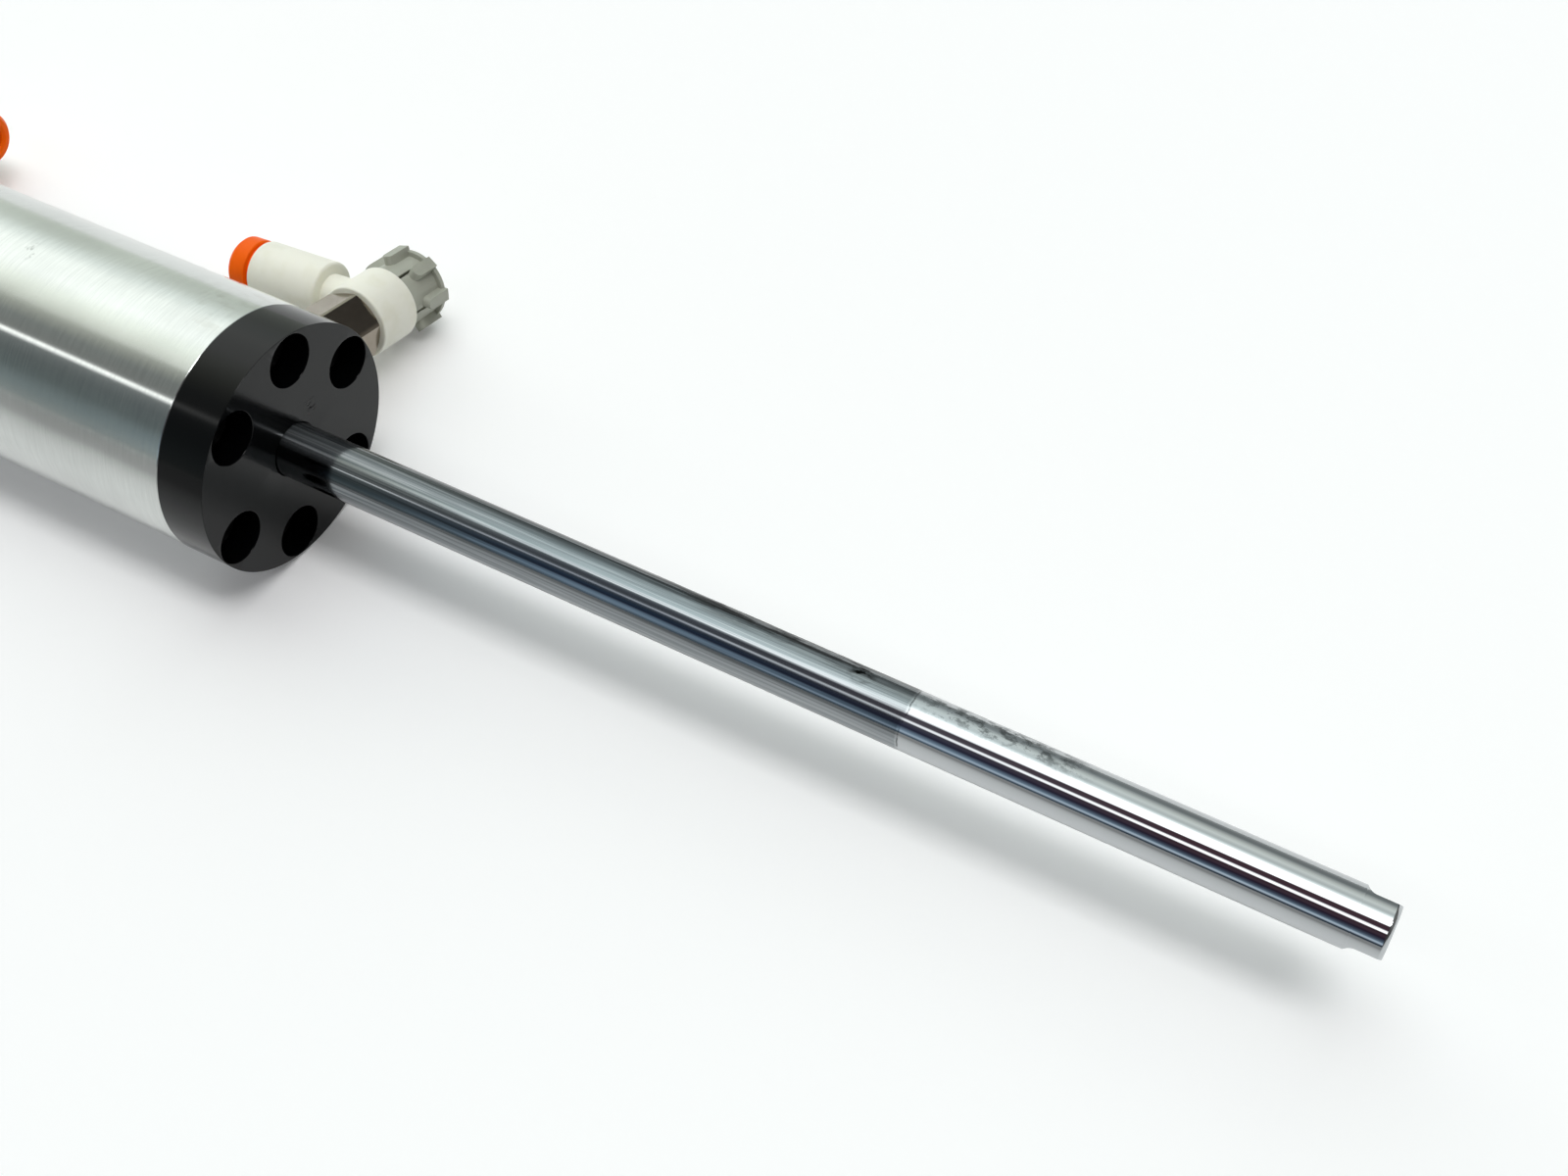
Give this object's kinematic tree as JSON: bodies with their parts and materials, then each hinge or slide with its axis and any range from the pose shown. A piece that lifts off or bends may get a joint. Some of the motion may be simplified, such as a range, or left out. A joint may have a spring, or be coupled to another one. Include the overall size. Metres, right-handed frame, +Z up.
{
  "type": "pneumatic round body cylinder",
  "caption": "Round body air cylinder with flush black heads, a long chromed rod with wrench flats, and elbow flow controls with push-in tube sockets.",
  "frame": {"origin": "centre of the front head's outer face, on the rod axis", "axes": "+X along the rod towards its tip, +Z up with the cylinder lying on its barrel and knobs, +Y to the side of the flow controls"},
  "size_m": [0.3528, 0.078, 0.0445],
  "materials": {
    "barrel_aluminium": "drawn, finished round the tube on a belt, clear anodised, faint scratches",
    "black_anodised": "turned face, black anodised, glossy satin",
    "black_screw_steel": "black oxide alloy steel",
    "seal_rubber": "moulded nitrile",
    "bushing_bronze": "sintered bronze, oiled",
    "chromed_rod": "ground and hard chromed, greasy with dark stains near the head",
    "piston_aluminium": "turned",
    "wear_strip": "filled low friction polymer",
    "bumper_polymer": "moulded polyurethane",
    "plated_nut": "zinc plated",
    "plated_brass": "nickel plated, dull",
    "bare_brass": "turned",
    "white_resin": "moulded, semi gloss, warm white",
    "grey_resin": "moulded, satin",
    "orange_resin": "moulded, satin",
    "spring_steel": "pressed stainless strip"
  },
  "bodies": {
    "cylinder_body": {"barrel": "barrel_aluminium", "front_head": "black_anodised", "rear_head": "black_anodised", "front_head_oring": "seal_rubber", "rear_head_oring": "seal_rubber", "front_head_screws": "black_screw_steel", "rear_head_screws": "black_screw_steel", "rod_bushing": "bushing_bronze", "rod_seal": "seal_rubber", "front_valve_stem": "plated_brass", "front_stem_oring": "seal_rubber", "front_check_seal": "seal_rubber", "front_needle_guide": "bare_brass", "rear_valve_stem": "plated_brass", "rear_stem_oring": "seal_rubber", "rear_check_seal": "seal_rubber", "rear_needle_guide": "bare_brass"},
    "piston_rings": {"piston_seal": "seal_rubber", "piston_wear_ring": "wear_strip"},
    "rod": {"piston_rod": "chromed_rod", "piston": "piston_aluminium", "front_bumper": "bumper_polymer", "rear_bumper": "bumper_polymer", "piston_nut": "plated_nut"},
    "front_elbow_arm": {"front_elbow": "white_resin", "front_tube_grip": "spring_steel", "front_tube_seal": "seal_rubber"},
    "front_collet": {"front_release_collet": "orange_resin"},
    "front_knob": {"front_knob": "grey_resin"},
    "front_needle": {"front_needle": "bare_brass"},
    "rear_elbow_arm": {"rear_elbow": "white_resin", "rear_tube_grip": "spring_steel", "rear_tube_seal": "seal_rubber"},
    "rear_collet": {"rear_release_collet": "orange_resin"},
    "rear_knob": {"rear_knob": "grey_resin"},
    "rear_needle": {"rear_needle": "bare_brass"}
  },
  "joints": [
    {"name": "rod_slide", "type": "slide", "parent": "cylinder_body", "child": "piston_rings", "axis": [1, 0, 0], "range_m": [-0.1143, 0]},
    {"name": "rod_turn", "type": "hinge", "parent": "piston_rings", "child": "rod", "pos_m": [-0.0254, 0, 0], "axis": [1, 0, 0], "continuous": true},
    {"name": "front_elbow_swivel", "type": "hinge", "parent": "cylinder_body", "child": "front_elbow_arm", "pos_m": [-0.01754, 0.04284, -0.01168], "axis": [0, 0.9648, -0.2631], "continuous": true},
    {"name": "front_collet_push", "type": "slide", "parent": "front_elbow_arm", "child": "front_collet", "axis": [0.9978, 0.0174, 0.0639], "range_m": [0, 0.0008], "stiffness_N_per_m": 600},
    {"name": "front_knob_turn", "type": "hinge", "parent": "cylinder_body", "child": "front_knob", "pos_m": [-0.01754, 0.05017, -0.01368], "axis": [0, -0.9648, 0.2631], "range_deg": [0, 2880]},
    {"name": "front_needle_lift", "type": "slide", "parent": "front_knob", "child": "front_needle", "axis": [0, 0.9648, -0.2631], "range_m": [0, 0.0028]},
    {"name": "rear_elbow_swivel", "type": "hinge", "parent": "cylinder_body", "child": "rear_elbow_arm", "pos_m": [-0.14746, 0.04284, -0.01168], "axis": [0, 0.9648, -0.2631], "continuous": true},
    {"name": "rear_collet_push", "type": "slide", "parent": "rear_elbow_arm", "child": "rear_collet", "axis": [-0.9969, -0.0206, -0.0757], "range_m": [0, 0.0008], "stiffness_N_per_m": 600},
    {"name": "rear_knob_turn", "type": "hinge", "parent": "cylinder_body", "child": "rear_knob", "pos_m": [-0.14746, 0.05017, -0.01368], "axis": [0, -0.9648, 0.2631], "range_deg": [0, 2880]},
    {"name": "rear_needle_lift", "type": "slide", "parent": "rear_knob", "child": "rear_needle", "axis": [0, 0.9648, -0.2631], "range_m": [0, 0.0028]}
  ],
  "couplings": [
    {"joint": "front_needle_lift", "follows": "front_knob_turn", "m_per_rad": 0.000055704},
    {"joint": "rear_needle_lift", "follows": "rear_knob_turn", "m_per_rad": 0.000055704}
  ]
}
